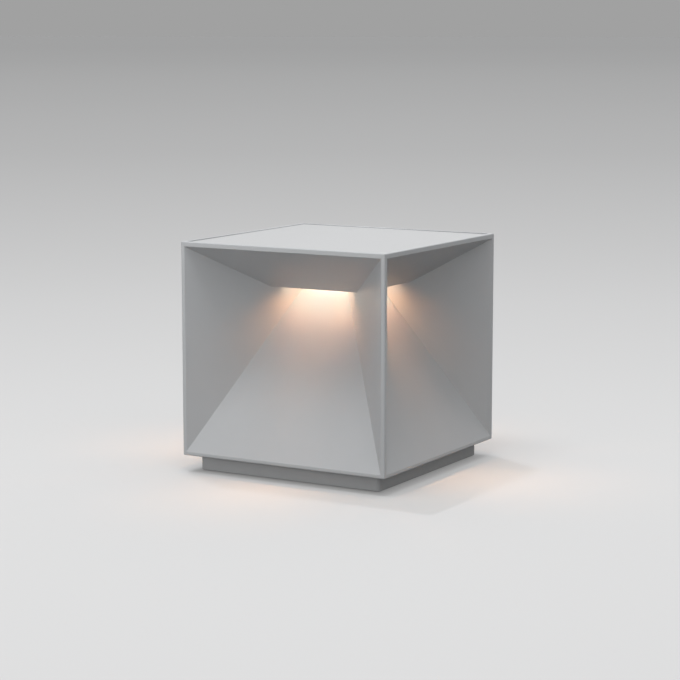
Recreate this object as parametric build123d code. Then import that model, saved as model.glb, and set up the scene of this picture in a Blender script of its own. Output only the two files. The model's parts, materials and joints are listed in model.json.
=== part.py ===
from build123d import *
import math
import os

# Cordless cube table lamp. Millimetres, +Z up, origin on the table under the middle of the base.
# The front is the -Y side and the right is the +X side. All four sides of the cube look alike.

# Overall cube and plinth
body_width = 110.0
body_height = 102.4
base_inset = 6.0
base_height = 7.6
foot_proud = 0.6
corner_radius = 0.6
edge_radius = 0.35

# Flat rims that frame the pocket in each side
side_rim = 2.0
top_rim = 2.3
bottom_rim = 1.8

# Head, an upside-down pyramid whose lower lip hides the light slot
lip_width = 50.6
lip_drop = 22.6
head_wall = 2.0
cover_ledge = 4.0

# Lower pyramid
light_box_height = 10.0
pyramid_top_width = 17.4
pyramid_wall = 2.2
pyramid_roof = 6.0
flange_width = 10.0
boss_size = 10.0
boss_height = 10.0

# Tabs that locate the corner fins in the two castings
tab_thickness = 1.4
tab_depth = 1.6
pyramid_tab_rise = 40.0
pyramid_tab_height = 10.0
head_tab_drop = 6.0
head_tab_height = 4.0
tab_clearance = 0.1

# Top cover, its tape and the touch sensor under it
cover_thickness = 2.0
cover_gap = 0.15
cover_sunk = 0.4
tape_thickness = 0.3
touch_pad_diameter = 30.0
touch_pad_thickness = 1.0

# Light unit
spreader_thickness = 3.0
lead_slot_length = 6.0
lead_slot_width = 6.0
lead_slot_x = 15.0
led_board_thickness = 1.6
led_board_width = 48.0
led_board_gap = 0.5
led_length = 3.5
led_width = 2.8
led_height = 0.8
led_pitch = 7.0
leds_per_side = 3
diffuser_recess = 4.0
diffuser_thickness = 1.5
diffuser_gap = 0.3

# Base tray, gasket and foot pad
base_corner_radius = 2.0
base_edge_radius = 0.5
tray_wall = 3.0
tray_floor = 2.0
pillar_size = 10.0
base_screw_inset = 9.0
gasket_lip = 1.8
gasket_width = 2.0
gasket_thickness = 0.8
pad_margin = 3.0
pad_width = 13.0
pad_sunk = 0.8
pad_corner_radius = 4.0
pad_screw_hole = 7.6

# Screws
base_screw_diameter = 3.0
base_screw_length = 10.0
base_screw_head = 5.5
base_screw_head_height = 2.0
spreader_screw_diameter = 2.5
spreader_screw_length = 8.0
spreader_screw_head = 4.5
spreader_screw_head_height = 1.6
board_screw_diameter = 2.0
board_screw_length = 4.5
board_screw_head = 3.8
board_screw_head_height = 1.3
screw_hole_clearance = 0.02
screw_head_clearance = 0.45
screw_tip_clearance = 0.4
base_screw_sunk = 4.0
spreader_screw_spacing = 10.4

# Driver board, hung above the floor of the tray
board_thickness = 1.6
board_width = 50.0
board_depth = 26.5
board_gap = 0.5
post_height = 4.0
post_diameter = 5.5
post_inset = 3.6
chip_size = 8.0
chip_height = 1.2
chip_inset = 15.0
chip_shift = 4.0
inductor_size = 7.0
inductor_height = 4.0
inductor_chamfer = 1.2
inductor_inset = 10.0
inductor_setback = 6.0

# Charging socket in the back of the base, and its door
socket_width = 8.9
socket_height = 3.2
socket_depth = 7.3
socket_wall = 0.3
socket_back = 1.5
socket_tongue_width = 6.7
socket_tongue_height = 0.7
socket_tongue_tip = 0.8
socket_clearance = 0.3
socket_setback = 0.3
port_block_depth = 2.5
port_block_width = 24.0
door_width = 14.6
door_height = 5.2
door_thickness = 1.5
door_clearance = 0.2
door_behind = 0.5
door_sunk = 0.1
door_nail_gap = 1.6
door_sill = 1.3
knuckle_diameter = 1.9
knuckle_gap = 0.3
pin_diameter = 0.9
pin_running_clearance = 0.05
pin_hole_clearance = 0.02
pin_foot = 0.7

# Push button under the base and the switch above it
button_diameter = 12.0
button_clearance = 0.3
button_sunk = 0.2
button_lip = 1.2
button_lip_height = 0.8
button_setback = 8.5
button_dish_radius = 22.0
button_dish_depth = 0.25
button_travel = 0.8
switch_size = 6.0
switch_height = 2.0
plunger_diameter = 3.0
plunger_running_clearance = 0.05
plunger_sunk = 0.6
plunger_end_gap = 0.1

# Battery
cell_diameter = 18.4
cell_length = 65.2
cell_gap = 0.3
contact_thickness = 0.5
contact_width = 12.0
contact_rise = 1.2
holder_wall = 1.8
holder_floor = 1.5
holder_height = 12.0
holder_gap = 1.5

# Leads
lead_diameter = 1.2
lead_hole = 6.0
lead_spread = 1.8
lead_offset = 1.5
lead_rise = 2.0
lead_pad_pitch = 4.5
lead_pad_first = 5.0
lead_lift = 12.0
lead_join_drop = 23.0
lead_bend = 6.0
lead_tight_bend = 1.8
battery_lead_bend = 3.0
battery_lead_inset = 5.0
battery_lead_lift = 6.0

# Levels, from the table up
base_low = foot_proud
body_low = base_low + base_height
pyramid_low = body_low + bottom_rim
top = body_low + body_height
rim_low = top - top_rim
lip = top - lip_drop
pyramid_top = lip + light_box_height
cover_top = top - cover_sunk
cover_low = cover_top - cover_thickness
ledge = cover_low - tape_thickness
tray_floor_top = base_low + tray_floor

half = body_width / 2
base_half = half - base_inset
tray_inner = base_half - tray_wall
fin_thickness = side_rim * math.sqrt(2)

# How far each sloped facet runs sideways for each millimetre of height, and its wall measured level
pyramid_run = (half - pyramid_top_width / 2) / (pyramid_top - pyramid_low)
head_run = (half - lip_width / 2) / (rim_low - lip)
pyramid_wall_level = pyramid_wall * math.hypot(1, pyramid_run)
head_wall_level = head_wall * math.hypot(1, head_run)

# Quarter turns that carry the front right corner to each of the four corners
corners = {"front_right": 0, "back_right": 90, "back_left": 180, "front_left": 270}


def pyramid_half(z):
    return half - (z - pyramid_low) * pyramid_run


def head_half(z):
    return lip_width / 2 + (z - lip) * head_run


def block(x, y, z):
    """Box between pairs of limits along each axis."""
    size = (x[1] - x[0], y[1] - y[0], z[1] - z[0])
    centre = ((x[0] + x[1]) / 2, (y[0] + y[1]) / 2, (z[0] + z[1]) / 2)
    return Pos(*centre) * Box(*size)


def prism(width, radius, low, high):
    """Upright square bar with rounded corners."""
    return Pos(0, 0, low) * extrude(RectangleRounded(width, width, radius), high - low)


def square(half_width, low, high):
    """Upright square bar with sharp corners."""
    return block((-half_width, half_width), (-half_width, half_width), (low, high))


def rod(x, y, low, high, diameter):
    """Upright round bar."""
    return Pos(x, y, (low + high) / 2) * Cylinder(diameter / 2, high - low)


def frustum(low, half_low, high, half_high):
    """Square pyramid cut level at both ends, from its half-width at each level."""
    outline = Polygon((-half_low, low), (half_low, low), (half_high, high), (-half_high, high), align=None)
    wedge = extrude(Plane.XZ * outline, max(half_low, half_high), both=True)
    return wedge & (Rot(0, 0, 90) * wedge)


def pyramid_form(inset, low, high):
    """The lower pyramid moved in level by an inset, between two levels."""
    return frustum(low, pyramid_half(low) - inset, high, pyramid_half(high) - inset)


def head_form(inset, low, high):
    """The head's upside-down pyramid moved in level by an inset, between two levels."""
    return frustum(low, head_half(low) - inset, high, head_half(high) - inset)


def diagonal_slab(thickness, low, high):
    """Upright slab along the diagonal of the front right corner, from the axis out."""
    reach = half * math.sqrt(2)
    return Rot(0, 0, -45) * block((0, reach), (-thickness / 2, thickness / 2), (low, high))


def all_corners(shape):
    return [Rot(0, 0, turn) * shape for turn in corners.values()]


def screw(sizes, x, y, seat, up):
    """Screw with a flat round head; seat is the level under the head, up is the way its shank points."""
    shank_diameter, length, head_diameter, head_height = sizes
    shank = rod(x, y, min(seat, seat + up * length), max(seat, seat + up * length), shank_diameter)
    head = rod(x, y, min(seat, seat - up * head_height), max(seat, seat - up * head_height), head_diameter)
    return shank + head


def screw_hole(sizes, x, y, low, high):
    return rod(x, y, low, high, sizes[0] + 2 * screw_hole_clearance)


def at_corners(spacing_x, spacing_y, x=0, y=0):
    return [(x + i * spacing_x / 2, y + j * spacing_y / 2) for i in (-1, 1) for j in (-1, 1)]


# Each screw as shank diameter, length under the head, head diameter and head height
base_screw = (base_screw_diameter, base_screw_length, base_screw_head, base_screw_head_height)
spreader_screw = (spreader_screw_diameter, spreader_screw_length, spreader_screw_head,
                  spreader_screw_head_height)
board_screw = (board_screw_diameter, board_screw_length, board_screw_head, board_screw_head_height)
base_screw_spots = at_corners(2 * (base_half - base_screw_inset), 2 * (base_half - base_screw_inset))
spreader_screw_spots = at_corners(spreader_screw_spacing, spreader_screw_spacing)

# Castings and corner fins

pyramid_solid = pyramid_form(0, pyramid_low, pyramid_top) & prism(body_width, corner_radius, pyramid_low, top)
head_solid = head_form(0, lip, rim_low) & prism(body_width, corner_radius, lip, top)


def pyramid_tab(clearance):
    """Tab of a front right fin in the pyramid's ridge, or with clearance its slot."""
    middle = pyramid_low + pyramid_tab_rise
    reach = pyramid_tab_height / 2 + clearance
    slab = diagonal_slab(tab_thickness + 2 * clearance, middle - reach, middle + reach)
    return (slab & pyramid_solid) - pyramid_form(tab_depth + clearance, pyramid_low, pyramid_top)


def head_tab(clearance):
    """Tab of a front right fin in the head's ridge, or with clearance its slot."""
    middle = rim_low - head_tab_drop
    reach = head_tab_height / 2 + clearance
    slab = diagonal_slab(tab_thickness + 2 * clearance, middle - reach, middle + reach)
    return (slab & head_solid) - head_form(tab_depth + clearance, lip, rim_low)


def make_pyramid_casting():
    rim = prism(body_width, corner_radius, body_low, pyramid_low)
    rim = fillet(rim.edges().group_by(Axis.Z)[0], edge_radius)
    hollow = pyramid_form(pyramid_wall_level, pyramid_low, pyramid_top - pyramid_roof)
    casting = rim + pyramid_solid - hollow - square(half - flange_width, body_low, pyramid_low)
    # A square boss in each inner corner takes a base screw and runs out into the wall
    near = base_half - base_screw_inset - boss_size / 2
    far = half - flange_width / 2
    boss = block((near, far), (-far, -near), (body_low, body_low + boss_height))
    for corner_boss in all_corners(boss & (pyramid_solid + square(half, body_low, pyramid_low))):
        casting += corner_boss
    for slot in all_corners(pyramid_tab(tab_clearance)):
        casting -= slot
    seat = base_low + base_screw_sunk
    for x, y in base_screw_spots:
        casting -= screw_hole(base_screw, x, y, body_low, seat + base_screw[1] + screw_tip_clearance)
    tip = pyramid_top + spreader_thickness - spreader_screw[1] - screw_tip_clearance
    for x, y in spreader_screw_spots:
        casting -= screw_hole(spreader_screw, x, y, tip, pyramid_top)
    return casting - rod(0, 0, pyramid_top - pyramid_roof, pyramid_top, lead_hole)


def make_head_casting():
    rim = prism(body_width, corner_radius, rim_low, top)
    rim = fillet(rim.edges().group_by(Axis.Z)[-1], edge_radius)
    hollow = head_form(head_wall_level, lip, ledge) & square(half - side_rim - cover_ledge, lip, ledge)
    recess = prism(body_width - 2 * side_rim, corner_radius, ledge, top)
    casting = rim + head_solid - hollow - recess
    for slot in all_corners(head_tab(tab_clearance)):
        casting -= slot
    return casting


def make_corner_fin():
    """Front right fin: a plate on the diagonal, ending in the upright edge of the cube."""
    plate = diagonal_slab(fin_thickness, pyramid_low, rim_low)
    plate = plate & prism(body_width, corner_radius, pyramid_low, rim_low)
    return plate - pyramid_solid - head_solid + pyramid_tab(0) + head_tab(0)


# Top cover and touch sensor

cover_width = body_width - 2 * (side_rim + cover_gap)


def make_top_cover():
    cover = prism(cover_width, corner_radius, cover_low, cover_top)
    return fillet(cover.edges().group_by(Axis.Z)[-1], cover_gap)


def make_cover_tape():
    tape = prism(cover_width, corner_radius, ledge, cover_low)
    return tape - square(half - side_rim - cover_ledge, ledge, cover_low)


def make_touch_pad():
    return rod(0, 0, cover_low - touch_pad_thickness, cover_low, touch_pad_diameter)


# Light unit

spreader_top = pyramid_top + spreader_thickness
led_board_low = pyramid_top - led_board_thickness
slot_middle = (lip_width / 2 - head_wall_level + pyramid_half(lip)) / 2


def make_heat_spreader():
    """Plate that rests on the pyramid and on the head's inner slopes and clamps the two together."""
    plate = head_form(head_wall_level, pyramid_top, spreader_top)
    for x, y in spreader_screw_spots:
        plate -= screw_hole(spreader_screw, x, y, pyramid_top, spreader_top)
    slot_x = (lead_slot_x - lead_slot_length / 2, lead_slot_x + lead_slot_length / 2)
    plate -= block(slot_x, (-lead_slot_width / 2, lead_slot_width / 2), (pyramid_top, spreader_top))
    return plate - rod(0, 0, pyramid_top, spreader_top, lead_hole)


def make_led_board():
    ring = square(led_board_width / 2, led_board_low, pyramid_top)
    return ring - square(pyramid_half(led_board_low) + led_board_gap, led_board_low, pyramid_top)


def make_led_chips():
    """A short row of light emitters over the middle of each of the four slots."""
    chips = []
    for turn in corners.values():
        for i in range(leds_per_side):
            x = (i - (leds_per_side - 1) / 2) * led_pitch
            spot = Rot(0, 0, turn) * Pos(x, -slot_middle, led_board_low - led_height / 2)
            chips.append(spot * Box(led_length, led_width, led_height))
    return Compound(chips)


def make_diffuser_ring():
    low = lip + diffuser_recess
    high = low + diffuser_thickness
    return head_form(head_wall_level, low, high) - pyramid_form(-diffuser_gap, low, high)


def make_spreader_screws():
    return Compound([screw(spreader_screw, x, y, spreader_top, -1) for x, y in spreader_screw_spots])


# Base tray, with everything that it carries placed from its back wall

port_block_front = tray_inner - port_block_depth
board_back = port_block_front - board_gap
board_front = board_back - board_depth
board_middle = (board_front + board_back) / 2
board_low = tray_floor_top + post_height
board_top = board_low + board_thickness
post_spots = at_corners(board_width - 2 * post_inset, board_depth - 2 * post_inset, y=board_middle)
button_y = board_front + button_setback
holder_half_width = cell_diameter / 2 + cell_gap + holder_wall
holder_y = board_front - holder_gap - holder_half_width

door_low = base_low + door_sill
door_high = door_low + door_height
door_outer = base_half - door_sunk
door_inner = door_outer - door_thickness
port_floor = door_inner - door_behind
hinge_x = door_width / 2
hinge_y = base_half - knuckle_diameter / 2 - door_sunk
pin_low = base_low + pin_foot
pin_high = body_low - door_clearance
port_left = hinge_x - door_width - door_nail_gap
port_right = hinge_x + knuckle_diameter / 2 + knuckle_gap

pad_outer = base_half - pad_margin
pad_inner = pad_outer - pad_width


def square_ring(outer, width, low, high):
    return square(outer, low, high) - square(outer - width, low, high)


def pad_ring(low, high):
    ring = prism(2 * pad_outer, pad_corner_radius, low, high)
    return ring - prism(2 * pad_inner, pad_corner_radius, low, high)


def port_space():
    """Recess for the door, the socket's hole through the wall and the hole for the hinge pin."""
    door_space = (door_low - door_clearance, door_high + door_clearance)
    recess = block((port_left, port_right), (port_floor, base_half), door_space)
    wide = socket_width / 2 + socket_clearance
    tall = (board_low - socket_height - socket_clearance, board_low + socket_clearance)
    hole = block((-wide, wide), (port_block_front, port_floor), tall)
    return recess + hole + rod(hinge_x, hinge_y, pin_low, body_low, pin_diameter + 2 * pin_hole_clearance)


def make_base_tray():
    tray = prism(2 * base_half, base_corner_radius, base_low, body_low)
    tray = fillet(tray.edges().group_by(Axis.Z)[0], base_edge_radius)
    tray -= square(tray_inner, tray_floor_top, body_low)
    near = base_half - base_screw_inset - pillar_size / 2
    for pillar in all_corners(block((near, tray_inner), (-tray_inner, -near), (tray_floor_top, body_low))):
        tray += pillar
    wide = port_block_width / 2
    tray += block((-wide, wide), (port_block_front, tray_inner), (tray_floor_top, body_low))
    for x, y in post_spots:
        tray += rod(x, y, tray_floor_top, board_low, post_diameter)
        tray -= screw_hole(board_screw, x, y, board_top - board_screw[1] - screw_tip_clearance, board_low)
    seat = base_low + base_screw_sunk
    for x, y in base_screw_spots:
        tray -= screw_hole(base_screw, x, y, base_low, body_low)
        tray -= rod(x, y, base_low, seat, base_screw[2] + 2 * screw_head_clearance)
    tray -= square_ring(base_half - gasket_lip, gasket_width, body_low - gasket_thickness, body_low)
    tray -= pad_ring(base_low, base_low + pad_sunk)
    tray -= rod(0, button_y, base_low, tray_floor_top, button_diameter + 2 * button_clearance)
    return tray - port_space()


def make_base_gasket():
    return square_ring(base_half - gasket_lip, gasket_width, body_low - gasket_thickness, body_low)


def make_foot_pad():
    pad = pad_ring(0, base_low + pad_sunk)
    for x, y in base_screw_spots:
        pad -= rod(x, y, 0, base_low + pad_sunk, pad_screw_hole)
    return pad


def make_base_screws():
    seat = base_low + base_screw_sunk
    return Compound([screw(base_screw, x, y, seat, 1) for x, y in base_screw_spots])


# Driver board with what is soldered to it

chip_x = chip_inset - board_width / 2
chip_y = board_middle + chip_shift
inductor_x = board_width / 2 - inductor_inset
inductor_y = board_front + inductor_setback


def make_driver_board():
    board = block((-board_width / 2, board_width / 2), (board_front, board_back), (board_low, board_top))
    for x, y in post_spots:
        board -= screw_hole(board_screw, x, y, board_low, board_top)
    return board


def make_driver_chip():
    return Pos(chip_x, chip_y, board_top + chip_height / 2) * Box(chip_size, chip_size, chip_height)


def make_driver_inductor():
    body = Box(inductor_size, inductor_size, inductor_height)
    body = chamfer(body.edges().filter_by(Axis.Z), inductor_chamfer)
    return Pos(inductor_x, inductor_y, board_top + inductor_height / 2) * body


def make_board_screws():
    return Compound([screw(board_screw, x, y, board_top, -1) for x, y in post_spots])


def make_usb_socket():
    """Steel shell hung under the board, open to the back, with the contact tongue inside."""
    mouth = port_floor - socket_setback
    back = mouth - socket_depth
    middle = board_low - socket_height / 2

    def flat_oval(width, height, y_low, y_high):
        outline = SlotOverall(width, height)
        return Pos(0, y_high, middle) * extrude(Plane.XZ * outline, y_high - y_low)

    shell = flat_oval(socket_width, socket_height, back, mouth)
    inner_width = socket_width - 2 * socket_wall
    inner_height = socket_height - 2 * socket_wall
    shell -= flat_oval(inner_width, inner_height, back + socket_back, mouth)
    tongue_z = (middle - socket_tongue_height / 2, middle + socket_tongue_height / 2)
    tongue_x = (-socket_tongue_width / 2, socket_tongue_width / 2)
    return shell + block(tongue_x, (back, mouth - socket_tongue_tip), tongue_z)


# Charging door, hinged on an upright pin at its right end

def make_port_door():
    leaf = block((hinge_x - door_width, hinge_x), (door_inner, door_outer), (door_low, door_high))
    knuckle = rod(hinge_x, hinge_y, door_low, door_high, knuckle_diameter)
    bore = pin_diameter + 2 * pin_running_clearance
    return leaf + knuckle - rod(hinge_x, hinge_y, door_low, door_high, bore)


def make_port_door_pin():
    return rod(hinge_x, hinge_y, pin_low, pin_high, pin_diameter)


# Push button and switch

button_low = base_low + button_sunk
button_lip_top = tray_floor_top + button_lip_height
switch_low = board_low - switch_height


def make_power_button():
    cap = rod(0, button_y, button_low, button_lip_top, button_diameter)
    lip_diameter = button_diameter + 2 * (button_clearance + button_lip)
    cap += rod(0, button_y, tray_floor_top, button_lip_top, lip_diameter)
    dish = Pos(0, button_y, button_low + button_dish_depth - button_dish_radius) * Sphere(button_dish_radius)
    return cap - dish


def make_switch_body():
    body = block((-switch_size / 2, switch_size / 2),
                 (button_y - switch_size / 2, button_y + switch_size / 2), (switch_low, board_low))
    depth = plunger_sunk + button_travel + plunger_end_gap
    bore = plunger_diameter + 2 * plunger_running_clearance
    return body - rod(0, button_y, switch_low, switch_low + depth, bore)


def make_switch_plunger():
    return rod(0, button_y, button_lip_top, switch_low + plunger_sunk, plunger_diameter)


# Battery in its holder

cell_z = tray_floor_top + holder_floor + cell_gap + cell_diameter / 2
contact_x = (cell_length + contact_thickness) / 2
contact_top = cell_z + cell_diameter / 2 + contact_rise


def make_battery_holder():
    inside = cell_length / 2 + contact_thickness
    outside = inside + holder_wall
    low = tray_floor_top + holder_floor
    high = tray_floor_top + holder_height
    wide = holder_half_width
    holder = block((-outside, outside), (holder_y - wide, holder_y + wide), (tray_floor_top, high))
    bay = (holder_y - wide + holder_wall, holder_y + wide - holder_wall)
    return holder - block((-inside, inside), bay, (low, high))


def make_battery_cell():
    return Pos(0, holder_y, cell_z) * Rot(0, 90, 0) * Cylinder(cell_diameter / 2, cell_length)


def make_battery_contacts():
    plates = []
    for side in (-1, 1):
        x = (side * contact_x - contact_thickness / 2, side * contact_x + contact_thickness / 2)
        y = (holder_y - contact_width / 2, holder_y + contact_width / 2)
        plates.append(block(x, y, (tray_floor_top + holder_floor, contact_top)))
    return Compound(plates)


# Leads

battery_lead_x = board_width / 2 - battery_lead_inset


def make_lead(points, bends):
    path = FilletPolyline(*points, radius=bends)
    return sweep(Plane(path @ 0, z_dir=path % 0) * Circle(lead_diameter / 2), path=path)


def rising_points(pad, x, y, high):
    """From a solder pad on the driver board up the hollow pyramid, then straight up near the axis."""
    pad_x = lead_pad_first + pad * lead_pad_pitch
    return [(pad_x, board_middle, board_top), (pad_x, board_middle, board_top + lead_lift),
            (x, y, pyramid_top - lead_join_drop), (x, y, high)]


def make_led_lead(pad, side):
    """Over the heat spreader and down through its slot to the back of the LED board."""
    y = side * lead_spread / 2
    high = spreader_top + lead_rise
    points = rising_points(pad, lead_offset, y, high)
    points += [(lead_slot_x, y, high), (lead_slot_x, y, pyramid_top)]
    return make_lead(points, [lead_bend, lead_bend, lead_tight_bend, lead_tight_bend])


def make_touch_lead():
    points = rising_points(0, -lead_offset, 0, cover_low - touch_pad_thickness)
    return make_lead(points, [lead_bend, lead_bend])


def make_battery_lead(side):
    high = contact_top + battery_lead_lift
    points = [(side * contact_x, holder_y, contact_top), (side * contact_x, holder_y, high),
              (side * battery_lead_x, board_middle, high), (side * battery_lead_x, board_middle, board_top)]
    return make_lead(points, [battery_lead_bend, lead_bend])


sub_parts = {
    "pyramid_casting": make_pyramid_casting(),
    "head_casting": make_head_casting(),
    "top_cover": make_top_cover(),
    "cover_tape": make_cover_tape(),
    "touch_pad": make_touch_pad(),
    "heat_spreader": make_heat_spreader(),
    "led_board": make_led_board(),
    "led_chips": make_led_chips(),
    "diffuser_ring": make_diffuser_ring(),
    "spreader_screws": make_spreader_screws(),
    "base_tray": make_base_tray(),
    "base_gasket": make_base_gasket(),
    "foot_pad": make_foot_pad(),
    "base_screws": make_base_screws(),
    "driver_board": make_driver_board(),
    "driver_chip": make_driver_chip(),
    "driver_inductor": make_driver_inductor(),
    "driver_board_screws": make_board_screws(),
    "usb_socket": make_usb_socket(),
    "port_door": make_port_door(),
    "port_door_pin": make_port_door_pin(),
    "power_button": make_power_button(),
    "switch_body": make_switch_body(),
    "switch_plunger": make_switch_plunger(),
    "battery_holder": make_battery_holder(),
    "battery_cell": make_battery_cell(),
    "battery_contacts": make_battery_contacts(),
    "led_lead_plus": make_led_lead(1, -1),
    "led_lead_minus": make_led_lead(2, 1),
    "touch_lead": make_touch_lead(),
    "battery_lead_plus": make_battery_lead(1),
    "battery_lead_minus": make_battery_lead(-1),
}
front_right_fin = make_corner_fin()
for corner, turn in corners.items():
    sub_parts["corner_fin_" + corner] = Rot(0, 0, turn) * front_right_fin

os.makedirs("parts", exist_ok=True)
for name, shape in sub_parts.items():
    export_step(shape, "parts/" + name + ".step")
print(len(sub_parts), "sub-parts")
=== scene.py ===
# %% [markdown]
# # A cube lamp with light in its pockets
# The lamp is a cube of coated metal. Each side is sunk into a pocket of four flat facets, and warm light
# falls into the pocket from a slot that nobody sees. The solid model gives every size and every joint.
# This lesson loads it as a fixed frame and gives it the edges, finishes and light that a photographer
# would see.

# %% Load the solid model
import json
import math

import bmesh
import bpy
from bmesh.types import BMFace, BMVert
from mathutils import Euler, Matrix, Vector


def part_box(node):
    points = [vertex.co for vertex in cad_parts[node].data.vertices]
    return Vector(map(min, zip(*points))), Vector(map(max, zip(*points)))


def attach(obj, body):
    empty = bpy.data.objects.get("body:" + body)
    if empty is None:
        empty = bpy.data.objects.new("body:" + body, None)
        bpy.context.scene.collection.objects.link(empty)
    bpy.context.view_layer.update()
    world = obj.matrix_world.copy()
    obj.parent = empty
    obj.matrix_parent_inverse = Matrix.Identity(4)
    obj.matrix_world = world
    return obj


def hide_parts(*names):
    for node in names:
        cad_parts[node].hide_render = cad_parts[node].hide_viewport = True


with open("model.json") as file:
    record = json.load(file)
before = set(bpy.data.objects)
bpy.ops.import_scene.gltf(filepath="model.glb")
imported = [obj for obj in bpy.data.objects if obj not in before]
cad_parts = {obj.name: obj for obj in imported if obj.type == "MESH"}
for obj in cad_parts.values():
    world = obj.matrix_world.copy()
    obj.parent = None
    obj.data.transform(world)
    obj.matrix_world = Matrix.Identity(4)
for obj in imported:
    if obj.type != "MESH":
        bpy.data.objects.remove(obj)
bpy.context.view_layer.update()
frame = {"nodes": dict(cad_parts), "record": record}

scene = bpy.context.scene
scene.view_settings.view_transform = "Standard"

# %% [markdown]
# ## Camera
# The camera stands a little above the lamp, turned about thirty degrees from its front, with a long lens
# that keeps the upright edges nearly parallel. The place was solved from the ten corners of cube and
# plinth, so the model lies on the picture without any fitting by eye.

# %% Camera
camera_data = bpy.data.cameras.new("camera")
camera_data.lens = 109.65
camera_data.sensor_width = 36.0
camera_data.clip_end = 200.0
camera = bpy.data.objects.new("camera", camera_data)
camera.location = (0.4998, -0.8553, 0.2088)
dip, turn = math.radians(8.502), math.radians(30.317)
camera.rotation_euler = Euler((math.pi / 2 - dip, 0, turn))
scene.collection.objects.link(camera)
scene.camera = camera
print("camera is", round(camera.location.length, 3), "m from the lamp")

# %% [markdown]
# ## Helpers for finishes
# Colours are picked as sRGB hex, the way a paint programme shows them, and one function turns them into
# the linear numbers that a renderer counts in. Every node goes in through one other function, which takes
# the node's settings by name and either a value or another node's output for each socket. Two more start a
# material and link its shader. A Mix node keeps its two colours at sockets 6 and 7 and the mixed colour at
# output 2, so there numbers stand for names.

# %% Helpers for finishes
MM = 0.001


def colour(hex_code):
    """Linear colour of an sRGB hex value."""
    parts = [int(hex_code[i:i + 2], 16) / 255 for i in (1, 3, 5)]
    return tuple(c / 12.92 if c <= 0.04045 else ((c + 0.055) / 1.055) ** 2.4 for c in parts) + (1.0,)


def add(tree, kind, sockets=None, **settings):
    """Adds one node. A socket gets a plain value, or a link if it is given another node's output."""
    made = tree.nodes.new("ShaderNode" + kind)
    for name, value in settings.items():
        setattr(made, name, value)
    for name, value in (sockets or {}).items():
        if isinstance(value, bpy.types.NodeSocket):
            tree.links.new(value, made.inputs[name])
        else:
            made.inputs[name].default_value = value
    return made


def join(tree, shader, **outputs):
    """Links outputs to a shader's sockets; underscores stand for the spaces in a socket's name."""
    for name, output in outputs.items():
        tree.links.new(output, shader.inputs[name.replace("_", " ")])


def start(name, **values):
    """Starts a material with one shader, set to plain values, and the object's own coordinates."""
    made = bpy.data.materials.new(name)
    made.use_nodes = True
    tree = made.node_tree
    tree.nodes.clear()
    shader = add(tree, "BsdfPrincipled", {key.replace("_", " "): value for key, value in values.items()})
    add(tree, "OutputMaterial", {"Surface": shader.outputs[0]})
    return made, tree, shader, add(tree, "TexCoord").outputs["Object"]


print("white is", [round(c, 3) for c in colour("#ffffff")])

# %% [markdown]
# ## The coated shell: where every surface is
# Castings and corner fins are separate solids in the frame, but on the lamp one coat of powder runs over
# all of them and closes the joints. So the six are shown by one skin. A boolean union of six meshes would
# leave ragged corners that no bevel could round, so the skin is modelled again from the same sizes. Most
# are read off the frame's own boxes, and those that no box shows are written down here.

# %% Sizes of the shell
side_rim = 2.0 * MM
ledge_width = 4.0 * MM
flange_width = 10.0 * MM
lip_half = 25.3 * MM
head_wall = 2.0 * MM
pyramid_top_half = 8.7 * MM
pyramid_wall = 2.2 * MM
pyramid_roof = 6.0 * MM

low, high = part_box("pyramid_casting")[0].z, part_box("head_casting")[1].z
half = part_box("head_casting")[1].x
pocket_low, pocket_high = (corner.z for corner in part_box("corner_fin_front_right"))
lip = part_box("head_casting")[0].z
pyramid_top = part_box("pyramid_casting")[1].z
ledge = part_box("cover_tape")[0].z
ledge_half = half - side_rim - ledge_width
flange_half = half - flange_width

pyramid_run = (half - pyramid_top_half) / (pyramid_top - pocket_low)
head_run = (half - lip_half) / (pocket_high - lip)
slot_inner = half - (lip - pocket_low) * pyramid_run
slot_outer = lip_half - head_wall * math.hypot(1, head_run)
print("pocket from", round(pocket_low / MM, 2), "to", round(pocket_high / MM, 2), "mm high")
print("slot from", round(slot_inner / MM, 2), "to", round(slot_outer / MM, 2), "mm off the axis")

# %% [markdown]
# ## The coated shell: four pockets in a cube
# Each side starts as one flat face of a cube. An inset leaves the thin rim, and extruding what is inside
# it gives the pocket: its four walls become the facets as soon as the moved face sits at the slot, level
# and high up under the head. Cutting the pockets out with wedges would work too, but then the facets
# would not share corners.

# %% Pockets
shell = bmesh.new()
middle = Matrix.Translation((0, 0, (low + high) / 2))
bmesh.ops.create_cube(shell, size=1, matrix=middle @ Matrix.Diagonal((2 * half, 2 * half, high - low, 1)))
sides = [face for face in shell.faces if abs(face.normal.z) < 0.5]
top_face = max(shell.faces, key=lambda face: face.normal.z)
bottom_face = min(shell.faces, key=lambda face: face.normal.z)

bmesh.ops.inset_individual(shell, faces=sides, thickness=side_rim, use_even_offset=True)
for corner in {v for face in sides for v in face.verts}:
    corner.co.z = pocket_high if corner.co.z > lip else pocket_low

mouths = bmesh.ops.extrude_discrete_faces(shell, faces=sides)["faces"]
for mouth in mouths:
    out = Vector([round(n) for n in mouth.normal])
    across = Vector((-out.y, out.x, 0))
    for corner in mouth.verts:
        reach = lip_half if corner.co.z > lip else slot_inner
        along = math.copysign(reach - side_rim, corner.co.dot(across))
        corner.co = out * reach + across * along + Vector((0, 0, lip))
print("cube with", len(mouths), "pockets has", len(shell.faces), "faces")

# %% [markdown]
# ## The coated shell: its hollows and the slot
# The head is hollow from above and the pyramid from below, and the two hollows are plain square funnels.
# One face is carried down step by step, a square at each level, and its walls follow it. The upper hollow
# reaches the level of the slots, where the strips between the fins are cut away, so that the pockets open
# into the light box.

# %% Hollows and slots
snap = 0.0001 * MM
tiny = 0.001 * MM
weld = 0.005 * MM


def only(kind, parts):
    """Those of an operator's results that are of one kind."""
    return [part for part in parts if isinstance(part, kind)]


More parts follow.
